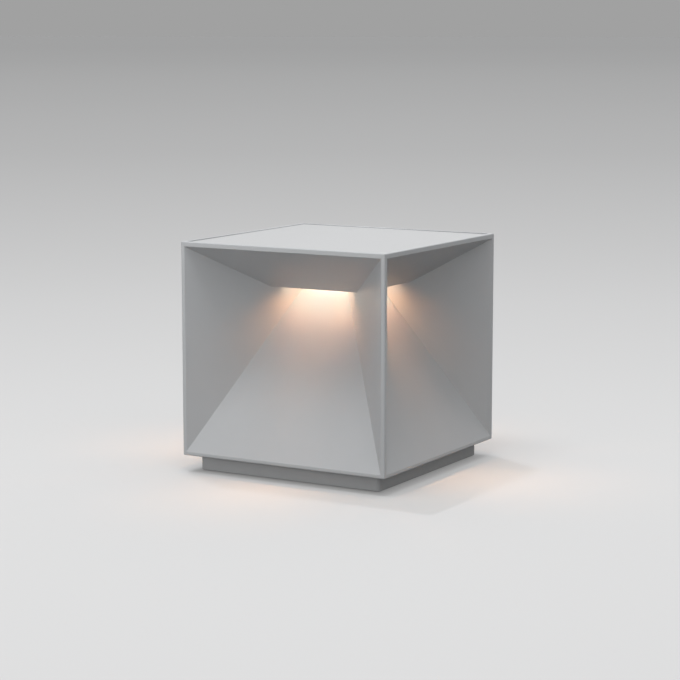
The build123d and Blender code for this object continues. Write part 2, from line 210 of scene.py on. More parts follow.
def carry(face, half_width, level):
    """Carries a level square face on to another width and level; walls stay behind it."""
    moved = bmesh.ops.extrude_discrete_faces(shell, faces=[face])["faces"][0]
    for corner in moved.verts:
        corner.co = (math.copysign(half_width, corner.co.x), math.copysign(half_width, corner.co.y), level)
    return moved


def cut(faces, point, normal):
    """Divides faces along a plane and gives back all the pieces."""
    parts = list({p for face in faces for p in [face, *face.edges, *face.verts]})
    done = bmesh.ops.bisect_plane(shell, geom=parts, dist=snap, plane_co=point, plane_no=normal)
    return only(BMFace, done["geom"])


slope_start = lip + (ledge_half - slot_outer) / head_run
floor_face = top_face
for width, level in ((half - side_rim, high), (half - side_rim, ledge), (ledge_half, ledge),
                     (ledge_half, slope_start), (slot_outer, lip), (slot_inner, lip)):
    floor_face = carry(floor_face, width, level)
ring = {face for edge in floor_face.edges for face in edge.link_faces} - {floor_face}
carry(floor_face, pyramid_top_half, pyramid_top)

hollow_half = half - pyramid_wall * math.hypot(1, pyramid_run)
roof_level = pyramid_top - pyramid_roof
roof_half = hollow_half - (roof_level - pocket_low) * pyramid_run
ceiling = bottom_face
for width, level in ((flange_half, low), (flange_half, pocket_low), (hollow_half, pocket_low),
                     (roof_half, roof_level)):
    ceiling = carry(ceiling, width, level)

for x, y in ((1, 1), (1, -1)):
    for sign in (-1, 1):
        ring = cut(ring, Vector((sign * side_rim, 0, 0)), Vector((x, y, 0)).normalized())
open_parts = [face for face in ring if min(map(abs, face.calc_center_median().xy)) < tiny]
for x, y in ((0, -1), (1, 0), (0, 1), (-1, 0)):
    out = Vector((x, y, 0))
    faces = [m for m in mouths if m.is_valid and m.calc_center_median().dot(out) > slot_inner]
    pieces = cut(faces, out * slot_outer, out)
    open_parts += [p for p in pieces if p.calc_center_median().dot(out) < slot_outer]
bmesh.ops.delete(shell, geom=open_parts, context="FACES")
bmesh.ops.remove_doubles(shell, verts=shell.verts, dist=weld)
open_edges = sum(len(edge.link_faces) != 2 for edge in shell.edges)
print("shell has", len(shell.faces), "faces and", open_edges, "open edges")

# %% [markdown]
# ## The coated shell: soft edges
# Powder flows as it melts. It thins out over a sharp edge and gathers in a crease, so nothing on a coated
# part is knife sharp, and each edge and each crease catches a fine line of light. Bevels do both: on an
# outer edge they cut the corner off, and in a crease the same operator fills it. The four upright edges
# come first, with the larger radius.

# %% Soft edges
upright_radius = 0.6 * MM
edge_radius = 0.3 * MM
least_turn = math.radians(25)


def round_edges(work, edges, radius, segments, clamp=False):
    """Rounds edges with a bevel; clamp keeps it from running past its neighbours."""
    bmesh.ops.bevel(work, geom=edges, offset=radius, segments=segments, profile=0.5, affect="EDGES",
                    material=-1, clamp_overlap=clamp)


def reach_of(v):
    """How far out a corner lies, towards the nearest side."""
    return max(abs(v.co.x), abs(v.co.y))


def on_side(v):
    """Whether a corner lies no deeper behind a side than the rim is wide."""
    return reach_of(v) > half - side_rim - tiny


def at(v, level):
    """Whether a corner lies at a level."""
    return abs(v.co.z - level) < tiny


uprights = [edge for edge in shell.edges
            if all(min(abs(v.co.x), abs(v.co.y)) > half - tiny for v in edge.verts)]
round_edges(shell, uprights, upright_radius, 4)

soft = []
for edge in shell.edges:
    a, b = edge.verts
    if len(edge.link_faces) != 2 or edge.calc_face_angle() < least_turn:
        continue
    rim_edge = on_side(a) and on_side(b) and not (at(a, ledge) or at(b, ledge))
    crease = any(on_side(v) and not at(v, ledge) and at(w, lip) for v, w in ((a, b), (b, a)))
    lip_edge = all(at(v, lip) and reach_of(v) > slot_outer - tiny for v in (a, b))
    if rim_edge or crease or lip_edge:
        soft.append(edge)
round_edges(shell, soft, edge_radius, 3, clamp=True)
print("softened", len(uprights) + len(soft), "edges; the shell has", len(shell.faces), "faces")

# %% [markdown]
# ## The coated shell: as an object
# Smooth shading would bend the flat facets towards their neighbours. The Weighted Normal modifier lets
# the large faces win, so the facets stay flat and only the narrow bevels turn.

# %% Shell object


def put(name, mesh_data, body, slot, *nodes):
    """Makes a piece of a finished bmesh, on a body, in place of some nodes; slot is not used."""
    mesh = bpy.data.meshes.new(name)
    mesh_data.to_mesh(mesh)
    mesh_data.free()
    made = bpy.data.objects.new(name, mesh)
    scene.collection.objects.link(made)
    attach(made, body)
    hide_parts(*nodes)
    return made


for face in shell.faces:
    face.smooth = True
coated_shell = put("coated_shell", shell, "lamp", "body_coat", "pyramid_casting", "head_casting",
                   *[name for name in frame["nodes"] if name.startswith("corner_fin")])
weighted = coated_shell.modifiers.new("flat_facets", "WEIGHTED_NORMAL")
weighted.keep_sharp = True
weighted.weight = 100

# %% [markdown]
# ## Finish: powder coat on the shell
# Powder coat is baked plastic dust. It hides the metal, scatters light softly and keeps a faint orange
# peel, low bumps about a millimetre apart, which break up reflections. The bumps are real but nearly
# invisible from a metre away, so their height is kept true and the eye only gets an even satin.

# %% Powder coat
powder_coat, tree, shader, place = start("powder_coat_silver_grey", IOR=1.5)
peel = add(tree, "TexNoise", {"Vector": place, "Scale": 1 / (1.1 * MM), "Detail": 2.0, "Roughness": 0.5})
cloud = add(tree, "TexNoise", {"Vector": place, "Scale": 1 / (22 * MM), "Detail": 3.0})
tone = add(tree, "Mix", {0: cloud.outputs[0], 6: colour("#aaacae"), 7: colour("#b0b2b4")}, data_type="RGBA")
gloss = add(tree, "MapRange", {"Value": peel.outputs[0], "To Min": 0.26, "To Max": 0.36})
bumps = add(tree, "Bump", {"Height": peel.outputs[0], "Strength": 0.25, "Distance": 0.02 * MM})
join(tree, shader, Base_Color=tone.outputs[2], Roughness=gloss.outputs[0], Normal=bumps.outputs[0])
print("powder coat has", len(tree.nodes), "nodes")

# %% [markdown]
# ## Finish: lacquered cover
# The cover on top is the touch switch, so it cannot be metal: it is a moulded plate, sprayed to match the
# shell. Spray lacquer lies flatter than powder. It has the shell's grey and a finer grain.

# %% Lacquered cover
cover_lacquer, tree, shader, place = start("sprayed_lacquer_grey", IOR=1.48)
mist = add(tree, "TexNoise", {"Vector": place, "Scale": 1 / (0.7 * MM), "Detail": 2.0})
cloud = add(tree, "TexNoise", {"Vector": place, "Scale": 1 / (30 * MM), "Detail": 2.0})
tone = add(tree, "Mix", {0: cloud.outputs[0], 6: colour("#acadae"), 7: colour("#b0b1b2")}, data_type="RGBA")
gloss = add(tree, "MapRange", {"Value": mist.outputs[0], "To Min": 0.27, "To Max": 0.35})
bumps = add(tree, "Bump", {"Height": mist.outputs[0], "Strength": 0.2, "Distance": 0.01 * MM})
join(tree, shader, Base_Color=tone.outputs[2], Roughness=gloss.outputs[0], Normal=bumps.outputs[0])
print("cover lacquer has", len(tree.nodes), "nodes")

# %% [markdown]
# ## Finish: mouldings
# Plinth, door, button, holder and plunger are injection moulded. The steel mould is spark eroded, and its
# matt grain prints on to the plastic: tiny craters under half a millimetre, drawn here at 0.45 mm so that
# they show close up. One recipe serves all of these, with its own colour and gloss for each.

# %% Mouldings


def moulding(name, dark, light, grain, rough, depth):
    """Moulded plastic whose spark-eroded grain varies its colour, gloss and height."""
    made, tree, shader, place = start(name, IOR=1.53)
    crater = add(tree, "TexVoronoi", {"Vector": place, "Scale": 1 / grain})
    haze = add(tree, "TexNoise", {"Vector": place, "Scale": 1 / (9 * MM), "Detail": 3.0})
    tone = add(tree, "Mix", {0: haze.outputs[0], 6: colour(dark), 7: colour(light)}, data_type="RGBA")
    gloss = add(tree, "MapRange", {"Value": crater.outputs[0],
                                   "To Min": rough - 0.05, "To Max": rough + 0.07})
    bumps = add(tree, "Bump", {"Height": crater.outputs[0], "Strength": 0.3, "Distance": depth})
    join(tree, shader, Base_Color=tone.outputs[2], Roughness=gloss.outputs[0], Normal=bumps.outputs[0])
    return made


grey_abs = moulding("moulded_abs_grey", "#98999a", "#a0a1a2", 0.45 * MM, 0.55, 0.02 * MM)
dark_abs = moulding("moulded_abs_dark", "#3a3b3d", "#434446", 0.3 * MM, 0.42, 0.01 * MM)
cream_acetal = moulding("moulded_acetal_cream", "#d8d2bd", "#e0dac6", 0.3 * MM, 0.38, 0.01 * MM)
black_nylon = moulding("moulded_nylon_black", "#232324", "#2b2b2c", 0.4 * MM, 0.5, 0.02 * MM)
epoxy_black = moulding("moulded_epoxy_black", "#1c1c1d", "#262627", 0.2 * MM, 0.45, 0.01 * MM)
rubber = moulding("moulded_rubber_black", "#161616", "#222222", 0.5 * MM, 0.72, 0.03 * MM)
foam_tape = moulding("foam_tape_black", "#1b1b1b", "#2a2a2a", 0.25 * MM, 0.85, 0.05 * MM)
red_pvc = moulding("extruded_pvc_red", "#b5261f", "#c02d25", 0.6 * MM, 0.4, 0.01 * MM)
black_pvc = moulding("extruded_pvc_black", "#1d1d1d", "#272727", 0.6 * MM, 0.4, 0.01 * MM)
white_pvc = moulding("extruded_pvc_white", "#e2e1dd", "#ebeae6", 0.6 * MM, 0.4, 0.01 * MM)
shrink_sleeve = moulding("shrink_sleeve_blue", "#22658a", "#2b7199", 3.0 * MM, 0.28, 0.02 * MM)
print("mouldings:", sum(m.name.startswith("moulded") for m in bpy.data.materials))

# %% [markdown]
# ## Finish: metals
# Bare metal shows the tool that made it. The heat spreader is milled, with fine straight passes; screws,
# pin and socket are plated steel with a slight cloudiness from the plating bath; the battery's contacts
# are rolled nickel strip. Colour comes from the metal itself and the marks only change gloss and height.

# %% Metals


def metal(name, base, marks, rough, stretch):
    """Bare metal with marks of one width, drawn out along Y where the tool ran straight."""
    made, tree, shader, place = start(name, Metallic=1.0, Base_Color=colour(base))
    run = add(tree, "Mapping", {"Vector": place, "Scale": (1, 1 / stretch, 1)})
    scratch = add(tree, "TexNoise", {"Vector": run.outputs[0], "Scale": 1 / marks, "Detail": 4.0})
    gloss = add(tree, "MapRange", {"Value": scratch.outputs[0],
                                   "To Min": rough - 0.08, "To Max": rough + 0.1})
    bumps = add(tree, "Bump", {"Height": scratch.outputs[0], "Strength": 0.2, "Distance": 0.01 * MM})
    join(tree, shader, Roughness=gloss.outputs[0], Normal=bumps.outputs[0])
    return made


milled_aluminium = metal("milled_aluminium", "#dcdde0", 0.4 * MM, 0.32, 12)
zinc_steel = metal("zinc_plated_steel", "#cdccc8", 0.5 * MM, 0.3, 1)
nickel = metal("rolled_nickel_strip", "#d3cfc4", 0.3 * MM, 0.25, 20)
print("metals: aluminium, steel, nickel")

# %% [markdown]
# ## Finish: circuit boards
# A board is glass cloth under a coloured resist. Copper tracks stand a hair proud under the resist and
# look a shade lighter, in straight runs. A brick pattern with long bricks gives such runs; its mortar is
# the bare gap between tracks. The light's board has white resist, because it also has to reflect.

# %% Circuit boards


def board(name, track, gap, pitch):
    """Solder resist over copper tracks, with long straight runs of one pitch."""
    made, tree, shader, place = start(name, Roughness=0.35, IOR=1.5)
    tracks = add(tree, "TexBrick", {"Vector": place, "Color1": colour(track), "Color2": colour(track),
                                    "Mortar": colour(gap), "Scale": 1.0, "Mortar Size": pitch * 0.12,
                                    "Brick Width": pitch * 5, "Row Height": pitch})
    bumps = add(tree, "Bump", {"Height": tracks.outputs["Fac"], "Strength": 0.3, "Distance": -0.03 * MM})
    join(tree, shader, Base_Color=tracks.outputs["Color"], Normal=bumps.outputs[0])
    return made


green_resist = board("solder_resist_green", "#1f7a48", "#155c35", 1.6 * MM)
white_resist = board("solder_resist_white", "#f2f1ec", "#e6e5df", 2.4 * MM)
print("boards: green and white resist")

# %% [markdown]
# ## Finish: light
# The emitters are small white packages, each with a square of yellow phosphor that glows warm white. Below
# them lies a frosted ring. Frosting would need a sharp ray for each grain, so the ring is a milky sheet
# that lets most of the light straight through and glows a little itself: a painted glow that stands in for
# the emitters' light that its frost would scatter.

# %% Light finishes
phosphor, tree, shader, place = start("phosphor_in_silicone", Roughness=0.3, Emission_Strength=100.0,
                                      Emission_Color=colour("#ffe0c4"))
speck = add(tree, "TexNoise", {"Vector": place, "Scale": 1 / (0.4 * MM), "Detail": 2.0})
tone = add(tree, "Mix", {0: speck.outputs[0], 6: colour("#f3cf6a"), 7: colour("#f8dd8c")}, data_type="RGBA")
join(tree, shader, Base_Color=tone.outputs[2])

package_white = moulding("moulded_ceramic_white", "#eeeeea", "#f6f6f2", 0.3 * MM, 0.4, 0.005 * MM)

# The ring's emission is a painted glow for the light that its frost would scatter
frosted, tree, shader, place = start("frosted_polycarbonate", Alpha=0.3, IOR=1.58, Emission_Strength=2.0,
                                     Emission_Color=colour("#fff9ed"))
frost = add(tree, "TexNoise", {"Vector": place, "Scale": 1 / (0.5 * MM), "Detail": 3.0})
tone = add(tree, "Mix", {0: frost.outputs[0], 6: colour("#ecebe4"), 7: colour("#f7f6f0")}, data_type="RGBA")
gloss = add(tree, "MapRange", {"Value": frost.outputs[0], "To Min": 0.5, "To Max": 0.65})
join(tree, shader, Base_Color=tone.outputs[2], Roughness=gloss.outputs[0])
print("light finishes: phosphor, white ceramic, frosted sheet")

# %% [markdown]
# ## Every node gets its finish
# The record names a finish slot for each solid. One table turns slots into the materials above, so no
# solid keeps its plain packed colour, hidden ones included.

# %% Assign finishes
finish_of = {
    "body_coat": powder_coat, "cover_coat": cover_lacquer,
    "base_plastic": grey_abs, "button_plastic": dark_abs,
    "foot_rubber": rubber, "bonding_tape": foam_tape, "bare_aluminium": milled_aluminium,
    "white_board": white_resist, "green_board": green_resist,
    "emitter": phosphor, "frosted_diffuser": frosted,
    "plated_steel": zinc_steel, "nickel_strip": nickel, "black_component": epoxy_black,
    "cream_plastic": cream_acetal, "holder_plastic": black_nylon, "cell_wrap": shrink_sleeve,
    "red_lead": red_pvc, "black_lead": black_pvc, "white_lead": white_pvc,
}
for row in frame["record"]["subparts"]:
    for slot in frame["nodes"][row["node"]].material_slots:
        slot.material = finish_of[row["material_slot"]]
coated_shell.data.materials.append(powder_coat)

# %% [markdown]
# ## Light emitters
# Twelve packages sit under the light's board, three over the middle of each slot, so the middle of every
# pocket is brightest. One block per package is enough; an inset on its lower face makes the window and a
# small depth makes the cup around the phosphor.

# %% Light emitters
chip_low, chip_high = (corner.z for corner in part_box("led_chips"))
slot_middle = (slot_inner + slot_outer) / 2
package_length, package_width, spacing = 3.5 * MM, 2.8 * MM, 7.0 * MM
cup_wall, cup_depth = 0.35 * MM, 0.12 * MM
chips = bmesh.new()
for number in range(4):
    quarter = Matrix.Rotation(number * math.pi / 2, 4, "Z")
    for x in (-spacing, 0, spacing):
        spot = Matrix.Translation((x, -slot_middle, (chip_low + chip_high) / 2))
        shape = Matrix.Diagonal((package_length, package_width, chip_high - chip_low, 1))
        bmesh.ops.create_cube(chips, size=1, matrix=quarter @ spot @ shape)
windows = [face for face in chips.faces if face.normal.z < -0.5]
bmesh.ops.inset_individual(chips, faces=windows, thickness=cup_wall, depth=-cup_depth)
for face in windows:
    face.material_index = 1
led_packages = put("led_packages", chips, "lamp", "emitter", "led_chips")
led_packages.data.materials.append(package_white)
led_packages.data.materials.append(phosphor)
print("led_packages has", len(windows), "windows")

# %% [markdown]
# ## Power button
# The button hides under the lamp, so a finger must find it by feel: a shallow dish in the middle and a
# rounded edge tell it from the base around it, and a wide lip inside keeps it from falling out. Round
# pieces like this are turned: a disc is carried along the axis step by step, a radius and a height each
# time, and its wall follows. Spinning a drawn profile gives the same solid, but here the list of steps is
# the profile.

# %% Power button


def lathe(work, steps, segments):
    """Turns a solid about the Z axis from (radius, height) steps and gives back its first disc."""
    radius, height = steps[0]
    lift = Matrix.Translation((0, 0, height))
    ring = bmesh.ops.create_circle(work, cap_ends=True, segments=segments, radius=radius,
                                   matrix=lift)["verts"]
    first_edges = list({edge for corner in ring for edge in corner.link_edges})
    moving = ring[0].link_faces[0]
    for (before, _), (radius, height) in zip(steps, steps[1:]):
        moving = bmesh.ops.extrude_discrete_faces(work, faces=[moving])["faces"][0]
        for corner in moving.verts:
            corner.co = (corner.co.x * radius / before, corner.co.y * radius / before, height)
    return bmesh.ops.contextual_create(work, geom=first_edges)["faces"][0]


def quarter_round(inner, outer, start, rise, parts):
    """Steps of a rounded edge for the lathe, from a flat face out to an upright wall."""
    angles = [part * math.pi / 2 / parts for part in range(parts + 1)]
    return [(inner + (outer - inner) * math.sin(a), start + rise * (1 - math.cos(a))) for a in angles]


def smooth(work, limit=35):
    """Turns normals outward and shades smooth, except across edges sharper than a limit in degrees."""
    bmesh.ops.recalc_face_normals(work, faces=work.faces)
    for face in work.faces:
        face.smooth = True
    for edge in work.edges:
        edge.smooth = edge.calc_face_angle(0) < math.radians(limit)


box_low, box_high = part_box("power_button")
button_middle = (box_low + box_high) / 2
lip_radius, lip_thickness = (box_high.x - box_low.x) / 2, 0.8 * MM
cap_radius, round_off, back_radius = 6.0 * MM, 0.4 * MM, 1.0 * MM
dish_radius, dish_depth = 22.0 * MM, 0.25 * MM
lip_low = box_high.z - lip_thickness
dish_reach = math.sqrt(2 * dish_radius * dish_depth - dish_depth ** 2)

steps = []
for share in (0.15, 0.4, 0.7, 1.0):
    sag = dish_radius - math.sqrt(dish_radius ** 2 - (share * dish_reach) ** 2)
    steps.append((share * dish_reach, box_low.z + dish_depth - sag))
steps += quarter_round(cap_radius - round_off, cap_radius, box_low.z, round_off, 4)
steps += [(cap_radius, lip_low), (lip_radius, lip_low), (lip_radius, box_high.z), (back_radius, box_high.z)]
turned = bmesh.new()
lathe(turned, steps, segments=64)
bmesh.ops.translate(turned, verts=turned.verts, vec=(button_middle.x, button_middle.y, 0))
smooth(turned)
dished_button = put("dished_button", turned, "button", "button_plastic", "power_button")
dished_button.data.materials.append(dark_abs)
print("button of", round(2 * cap_radius / MM, 1), "mm with a dish of", round(2 * dish_reach / MM, 1), "mm")

# %% [markdown]
# ## Base screws
# Four pan-head screws hold the base, each with a pressed cross recess. The lathe's first disc is the face
# of the head. An inset ring on it is pulled in between the arms until each arm has one width, and the
# cross that is left goes down into the head, narrower at the bottom, as the driver's tip is. One screw is
# made and the other three are copies.

# %% Base screws
box_low, box_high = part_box("base_screws")
head_radius, head_height, face_radius, head_rounding = 2.75 * MM, 2.0 * MM, 2.2 * MM, 0.6 * MM
shank_radius, point_radius, point_length = 1.5 * MM, 1.0 * MM, 0.5 * MM
arm_reach, arm_half = 1.45 * MM, 0.36 * MM
recess_inset, recess_depth, recess_taper = 0.5 * MM, 1.2 * MM, 0.7
head_low, seat = box_low.z, box_low.z + head_height
screws = bmesh.new()
disc = lathe(screws, [*quarter_round(face_radius, head_radius, head_low, head_rounding, 3),
                      (head_radius, seat), (shank_radius, seat), (shank_radius, box_high.z - point_length),
                      (point_radius, box_high.z)], segments=48)
bmesh.ops.inset_individual(screws, faces=[disc], thickness=recess_inset)
for corner in disc.verts:
    aim = corner.co.xy.normalized()
    aside = max(min(map(abs, aim)), arm_half / arm_reach)
    corner.co.xy = aim * arm_half / aside
cross = bmesh.ops.extrude_discrete_faces(screws, faces=[disc])["faces"][0]
for corner in cross.verts:
    corner.co = (corner.co.x * recess_taper, corner.co.y * recess_taper, head_low + recess_depth)

one = [*screws.verts, *screws.edges, *screws.faces]
spots = [Vector((x, y, 0)) for x in (box_low.x + head_radius, box_high.x - head_radius)
         for y in (box_low.y + head_radius, box_high.y - head_radius)]
for spot in spots[1:]:
    copies = bmesh.ops.duplicate(screws, geom=one)["geom"]
    bmesh.ops.translate(screws, verts=only(BMVert, copies), vec=spot)
bmesh.ops.translate(screws, verts=only(BMVert, one), vec=spots[0])
smooth(screws)
cross_screws = put("cross_screws", screws, "lamp", "plated_steel", "base_screws")
cross_screws.data.materials.append(zinc_steel)
print(len(spots), "screws,", round((spots[3].x - spots[0].x) / MM, 1), "mm apart")

# %% [markdown]
# ## Charging door
# The door is a small moulded flap that swings on an upright pin. Its free end has three finger grooves.
# They are cut lines on the flap whose middle is pushed in. The knuckle round the pin is a ring drawn out
# upwards.

# %% Charging door
box_low, box_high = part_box("port_door")
knuckle_radius, bore_radius = 0.95 * MM, 0.5 * MM
leaf_thickness, leaf_rounding = 1.5 * MM, 0.25 * MM
groove_count, groove_inset, groove_pitch = 3, 1.0 * MM, 0.9 * MM
groove_half, groove_depth = 0.3 * MM, 0.35 * MM
leaf_middle = box_high.y - leaf_thickness / 2
hinge = Vector((box_high.x - knuckle_radius, box_high.y - knuckle_radius, box_low.z))
leaf_low = Vector((box_low.x, box_high.y - leaf_thickness, box_low.z))
leaf_size = Vector((hinge.x, box_high.y, box_high.z)) - leaf_low
door = bmesh.new()
leaf = Matrix.Translation(leaf_low + leaf_size / 2) @ Matrix.Diagonal((*leaf_size, 1))
bmesh.ops.create_cube(door, size=1, matrix=leaf)
outer = [edge for edge in door.edges
         if all(v.co.y > leaf_middle for v in edge.verts) and any(v.co.x < 0 for v in edge.verts)]
round_edges(door, outer, leaf_rounding, 3)
for number in range(groove_count):
    groove = box_low.x + groove_inset + number * groove_pitch
    for x in (groove - groove_half, groove, groove + groove_half):
        bmesh.ops.bisect_plane(door, geom=[*door.verts, *door.edges, *door.faces], dist=snap,
                               plane_co=(x, 0, 0), plane_no=(1, 0, 0))
    for corner in door.verts:
        if abs(corner.co.x - groove) < tiny and corner.co.y > leaf_middle:
            corner.co.y = min(corner.co.y, box_high.y - groove_depth)

upright = Matrix.Translation(hinge)
bore = bmesh.ops.create_circle(door, segments=32, radius=bore_radius, matrix=upright)["verts"]
bore_edges = list({edge for corner in bore for edge in corner.link_edges})
wide = bmesh.ops.extrude_edge_only(door, edges=bore_edges)["geom"]
for corner in only(BMVert, wide):
    corner.co = hinge + (corner.co - hinge) * knuckle_radius / bore_radius
tall = bmesh.ops.extrude_face_region(door, geom=only(BMFace, wide))["geom"]
bmesh.ops.translate(door, verts=only(BMVert, tall), vec=(0, 0, leaf_size.z))
smooth(door, limit=30)
grooved_door = put("grooved_door", door, "charging_door", "base_plastic", "port_door")
grooved_door.data.materials.append(grey_abs)
print("door leaf in mm:", [round(d / MM, 2) for d in leaf_size])

# %% [markdown]
# ## Socket contacts
# With the door open, the socket shows its tongue with a row of fine plated springs on both faces. They lie
# half a millimetre apart and stand a hair proud. Each has a chamfered front end, so that a plug slides on.

# %% Socket contacts
tongue_half, tongue_tip, tongue_middle = 0.35 * MM, 45.8 * MM, 5.0 * MM
contact_wide, contact_long, contact_thick, chamfer = 0.28 * MM, 4.4 * MM, 0.1 * MM, 0.04 * MM
contact_count, pitch, setback = 12, 0.5 * MM, 2.6 * MM
contact_middle = tongue_tip - setback
contacts = bmesh.new()
for side in (-1, 1):
    for number in range(contact_count):
        across = (number - (contact_count - 1) / 2) * pitch
        spot = (across, contact_middle, tongue_middle + side * tongue_half)
        size = Matrix.Diagonal((contact_wide, contact_long, contact_thick, 1))
        bmesh.ops.create_cube(contacts, size=1, matrix=Matrix.Translation(spot) @ size)
ends = [edge for edge in contacts.edges if all(v.co.y > contact_middle for v in edge.verts)]
round_edges(contacts, ends, chamfer, 2)
smooth(contacts)
socket_contacts = put("socket_contacts", contacts, "lamp", "nickel_strip")
socket_contacts.data.materials.append(nickel)
print("socket has", 2 * contact_count, "contacts")

# %% [markdown]
# ## Battery cell
# Inside the base lies a common round cell: a steel can in a shrunk sleeve that rolls in over both rims,
# and a raised cap at one end. It is turned upright on the lathe and laid down along X.

# %% Battery cell
box_low, box_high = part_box("battery_cell")
cell_middle, cell_half = (box_low + box_high) / 2, (box_high.x - box_low.x) / 2
cell_radius = (box_high.z - box_low.z) / 2
sleeve_mouth, sleeve_face, sleeve_rounding = 7.6 * MM, 8.4 * MM, 0.6 * MM
cap_foot, cap_top, cap_height, cap_edge = 4.6 * MM, 4.2 * MM, 1.3 * MM, 0.2 * MM
can_depth, can_taper = 0.3 * MM, 0.2 * MM
sleeve_end = cell_half - cap_height
can_end = sleeve_end - can_depth

steps = [(sleeve_mouth, -cell_half)]
steps += quarter_round(sleeve_face, cell_radius, -cell_half, sleeve_rounding, 2)
steps += reversed(quarter_round(sleeve_face, cell_radius, sleeve_end, -sleeve_rounding, 2))
steps += [(sleeve_mouth, sleeve_end), (sleeve_mouth - can_taper, can_end), (cap_foot, can_end),
          (cap_top, cell_half - cap_edge), (cap_top - cap_edge, cell_half)]
cell = bmesh.new()
lathe(cell, steps, segments=64)
for face in cell.faces:
    widest = max(corner.co.xy.length for corner in face.verts)
    face.material_index = 1 if widest < (sleeve_mouth + sleeve_face) / 2 else 0
lay_down = Matrix.Translation(cell_middle) @ Matrix.Rotation(math.pi / 2, 4, "Y")
bmesh.ops.transform(cell, matrix=lay_down, verts=cell.verts)
smooth(cell, limit=50)
sleeved_cell = put("sleeved_cell", cell, "lamp", "cell_wrap", "battery_cell")
sleeved_cell.data.materials.append(shrink_sleeve)
sleeved_cell.data.materials.append(nickel)
print("cell of", round(2 * cell_radius / MM, 1), "by", round(2 * cell_half / MM, 1), "mm")

# %% [markdown]
# ## Stage
# The lamp stands on a pale seamless sweep whose grey is painted darker into the distance: a painted falloff
# of the studio light. Distance is measured from a point in front of the lamp, and its logarithm drives a
# ramp of greys, because the far floor is squeezed into a thin strip below the horizon. The world takes over
# there with the same grey. White paper throws much light up under a lamp, and a studio would flag that off
# with black card. Here the sweep answers light with about six tenths of its grey where the camera or a
# reflection sees it, adds a little light of its own so that the shadow at the foot stays open, and answers
# with only about a sixth elsewhere, so that the undersides keep their depth.

# %% Floor


def fill(ramp, stops):
    """Puts colours on a ramp; the first and the last go on the two stops that it starts with."""
    elements = ramp.color_ramp.elements
    for element, (spot, tone) in zip((elements[0], elements[1]), (stops[0], stops[-1])):
        element.position = spot
        element.color = tone
    for spot, tone in stops[1:-1]:
        elements.new(spot).color = tone


floor_half = 60.0
floor_mesh = bmesh.new()
bmesh.ops.create_grid(floor_mesh, x_segments=1, y_segments=1, size=floor_half)
mesh = bpy.data.meshes.new("floor")
floor_mesh.to_mesh(mesh)
floor_mesh.free()
floor = bpy.data.objects.new("floor", mesh)
scene.collection.objects.link(floor)

# Middle from which the painted falloff of light on the floor is measured
painted_falloff_centre = Vector((0.3, -0.5, 0))
near_power, far_power = -0.3, 1.4
answer_seen, answer_elsewhere, own_light = 0.59, 0.17, 0.245
sweep, tree, shader, place = start("matt_paper_sweep", Roughness=0.9, Specular_IOR_Level=0.0)
moved = add(tree, "Mapping", {"Vector": place, "Location": -painted_falloff_centre})
away = add(tree, "VectorMath", {0: moved.outputs[0]}, operation="LENGTH")
power = add(tree, "Math", {0: away.outputs["Value"], 1: 10.0}, operation="LOGARITHM")
share = add(tree, "MapRange", {"Value": power.outputs[0], "From Min": near_power, "From Max": far_power})
ramp = add(tree, "ValToRGB", {"Fac": share.outputs[0]})
# Painted shade: these greys darken the floor away from the lamp, in place of the studio light falling off
painted_falloff_greys = ((0.5, "#dbdbdb"), (0.62, "#dcdcdc"), (0.76, "#dbdbdb"), (1.19, "#d6d6d6"), (2.14, "#c8c8c8"),
         (3.2, "#bebebe"), (6.0, "#b5b5b5"), (14.0, "#acacac"), (25.0, "#a9a9a9"))
fill(ramp, [((math.log10(metres) - near_power) / (far_power - near_power), colour(grey))
            for metres, grey in painted_falloff_greys])
path = add(tree, "LightPath")
seen = path.outputs["Is Camera Ray"]
for other in ("Is Glossy Ray", "Is Transmission Ray"):
    seen = add(tree, "Math", {0: seen, 1: path.outputs[other]}, operation="MAXIMUM").outputs[0]
answer = add(tree, "MapRange", {"Value": seen, "To Min": answer_elsewhere, "To Max": answer_seen})
tone = add(tree, "VectorMath", {0: ramp.outputs["Color"], "Scale": answer.outputs[0]}, operation="SCALE")
own = add(tree, "Math", {0: seen, 1: own_light}, operation="MULTIPLY")
join(tree, shader, Base_Color=tone.outputs[0], Emission_Color=ramp.outputs["Color"],
     Emission_Strength=own.outputs[0])
floor.data.materials.append(sweep)
print("floor ramp has", len(ramp.color_ramp.elements), "painted_falloff_greys")

# %% [markdown]
# ## Studio light
# Four broad soft boxes hang in the world itself: overhead, before the lamp, behind it and at its right.
# Each is a cosine of the angle to its middle, raised to a power that sets how narrow it is, and their sum
# lights the scene. Two real soft boxes add what the broad ones can't. One above the front lights the foot
# of the front facet but not its upper part, which the head shades. One near the floor puts a sheen on the
# upright rims, and light linking leaves the floor out of its beam, where it would show as a white patch.
# A weak sun draws the short shadow in front. The camera itself sees plain grey behind the floor.

# %% Soft boxes
world = bpy.data.worlds.new("studio")
scene.world = world
world.use_nodes = True
tree = world.node_tree
tree.nodes.clear()
look = add(tree, "TexCoord").outputs["Generated"]
